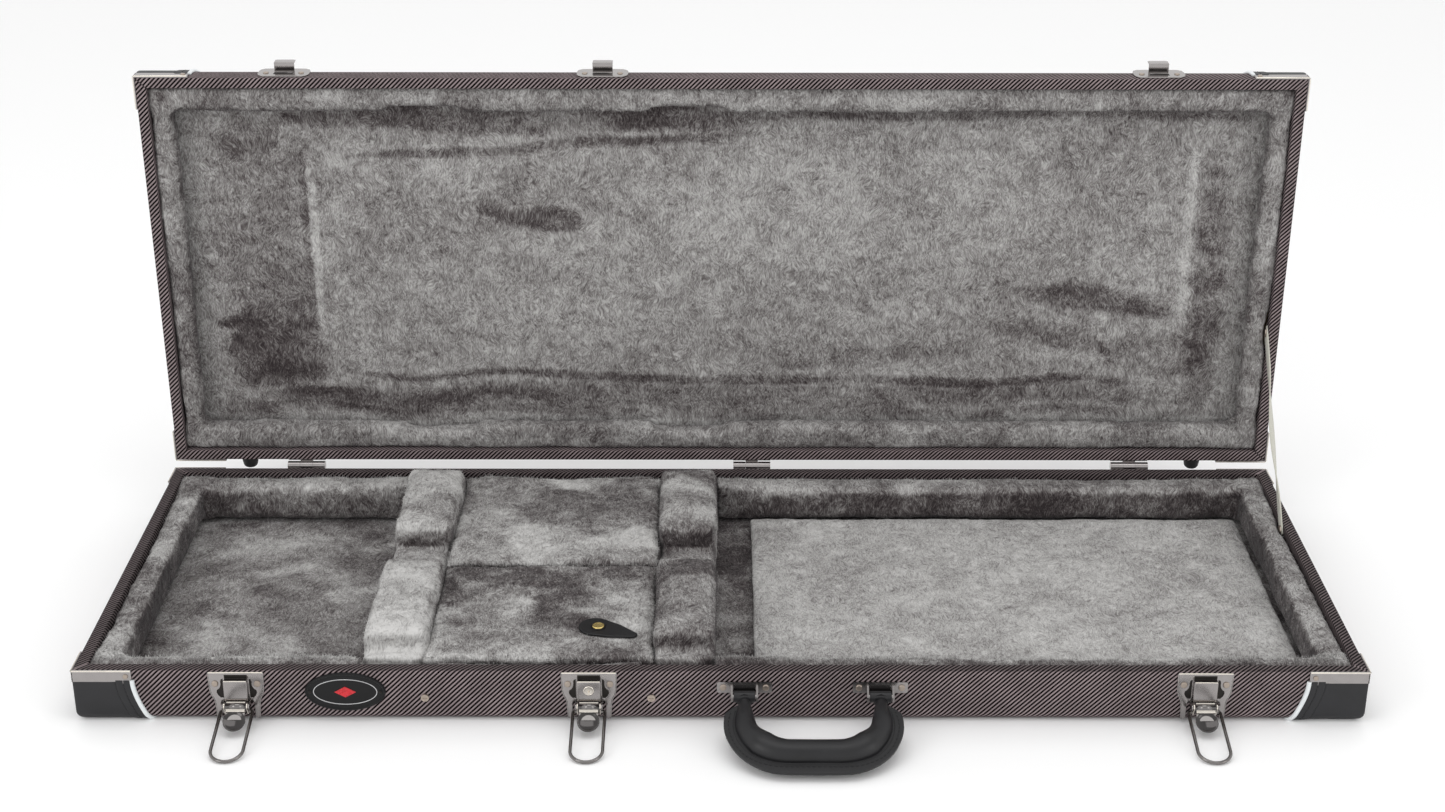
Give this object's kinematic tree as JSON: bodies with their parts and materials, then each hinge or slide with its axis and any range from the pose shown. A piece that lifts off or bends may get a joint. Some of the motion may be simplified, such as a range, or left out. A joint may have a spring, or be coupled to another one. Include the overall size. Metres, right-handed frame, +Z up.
{
  "type": "guitar case",
  "caption": "Rectangular hard case for an electric guitar, lid open, striped woven cover, plush lining, draw latches, carrying handle and accessory pocket.",
  "frame": {"origin": "centre of the base's underside, on the surface that the case rests on", "axes": "+X along the case, towards the guitar body's end; -Y towards the front, where the handle and latches are; +Z up"},
  "size_m": [1.0648, 0.5134, 0.449],
  "materials": {
    "ply": "raw plywood",
    "striped_cover": "striped woven cover",
    "plush": "deep plush pile",
    "corner_leather": "smooth black leatherette, stitched",
    "piping": "white vinyl piping",
    "dark_nickel": "black nickel plate",
    "rivets": "nickel",
    "handle_leather": "smooth black, stitched",
    "badge": "black, moulded rim",
    "foot_rubber": "matt black",
    "webbing": "flat woven webbing",
    "button": "polished",
    "tab_leather": "smooth black",
    "lock": "bright nickel"
  },
  "bodies": {
    "base": {"base_bottom_panel": "ply", "base_front_board": "ply", "base_rear_board": "ply", "base_side_boards": "ply", "base_side_cover": "striped_cover", "base_bottom_cover": "striped_cover", "base_corner_strips": "dark_nickel", "base_strip_rivets": "rivets", "base_corner_caps": "corner_leather", "base_cap_piping": "piping", "base_floor_lining": "plush", "base_wall_pads": "plush", "body_bed_pad": "plush", "head_neck_rest": "plush", "body_neck_rest": "plush", "pocket_dividers": "ply", "pocket_fixed_panel": "plush", "badge": "badge", "badge_rivets": "rivets", "front_screws": "rivets", "handle_brackets": "dark_nickel", "handle_pins": "dark_nickel", "front_rivets": "rivets", "latch_plates": "dark_nickel", "latch_pins": "dark_nickel", "hinge_base_leaves": "dark_nickel", "hinge_pins": "dark_nickel", "hinge_base_rivets": "rivets", "base_rear_feet": "foot_rubber", "base_strap_anchor": "rivets", "stay_strap": "webbing"},
    "lid": {"lid_top_panel": "ply", "lid_long_boards": "ply", "lid_side_boards": "ply", "lid_side_cover": "striped_cover", "lid_top_cover": "striped_cover", "lid_corner_strips": "dark_nickel", "lid_strip_rivets": "rivets", "lid_corner_caps": "corner_leather", "lid_cap_piping": "piping", "lid_top_lining": "plush", "lid_wall_pads": "plush", "lid_strikes": "dark_nickel", "lid_strike_rivets": "rivets", "lid_rear_feet": "foot_rubber", "hinge_lid_leaves": "dark_nickel", "hinge_lid_rivets": "rivets", "lid_strap_anchor": "rivets"},
    "handle": {"handle_grip": "handle_leather", "handle_welt": "handle_leather"},
    "pocket_lid": {"pocket_lid": "plush", "pull_tab": "tab_leather", "pull_tab_button": "button"},
    "lock": {"lock_cylinder": "lock"},
    "lever_left": {"latch_lever_left": "dark_nickel"},
    "bail_left": {"latch_bail_left": "dark_nickel"},
    "lever_middle": {"latch_lever_middle": "dark_nickel"},
    "bail_middle": {"latch_bail_middle": "dark_nickel"},
    "lever_right": {"latch_lever_right": "dark_nickel"},
    "bail_right": {"latch_bail_right": "dark_nickel"}
  },
  "joints": [
    {"name": "lid_hinge", "type": "hinge", "parent": "base", "child": "lid", "pos_m": [0, 0.1984, 0.048], "axis": [-1, 0, 0], "range_deg": [-88.5, 0], "deforming": ["stay_strap"]},
    {"name": "handle_swing", "type": "hinge", "parent": "base", "child": "handle", "pos_m": [0.0752, -0.199, 0.027], "axis": [-1, 0, 0], "range_deg": [0, 97]},
    {"name": "pocket_lid_hinge", "type": "hinge", "parent": "base", "child": "pocket_lid", "pos_m": [-0.1505, -0.0065, 0.0468], "axis": [-1, 0, 0], "range_deg": [0, 100]},
    {"name": "lock_turn", "type": "hinge", "parent": "base", "child": "lock", "pos_m": [-0.108, -0.1965, 0.032], "axis": [0, 1, 0], "range_deg": [0, 90]},
    {"name": "lever_left_swing", "type": "hinge", "parent": "base", "child": "lever_left", "pos_m": [-0.397, -0.2015, 0.0185], "axis": [-1, 0, 0], "range_deg": [0, 110]},
    {"name": "lever_middle_swing", "type": "hinge", "parent": "base", "child": "lever_middle", "pos_m": [-0.108, -0.2015, 0.0185], "axis": [-1, 0, 0], "range_deg": [0, 110]},
    {"name": "lever_right_swing", "type": "hinge", "parent": "base", "child": "lever_right", "pos_m": [0.397, -0.2015, 0.0185], "axis": [-1, 0, 0], "range_deg": [0, 110]},
    {"name": "bail_left_swing", "type": "hinge", "parent": "lever_left", "child": "bail_left", "pos_m": [-0.397, -0.19898, 0.01284], "axis": [1, 0, 0], "range_deg": [-100.83, 0]},
    {"name": "bail_middle_swing", "type": "hinge", "parent": "lever_middle", "child": "bail_middle", "pos_m": [-0.108, -0.19898, 0.01284], "axis": [1, 0, 0], "range_deg": [-100.83, 0]},
    {"name": "bail_right_swing", "type": "hinge", "parent": "lever_right", "child": "bail_right", "pos_m": [0.397, -0.19898, 0.01284], "axis": [1, 0, 0], "range_deg": [-100.83, 0]}
  ]
}
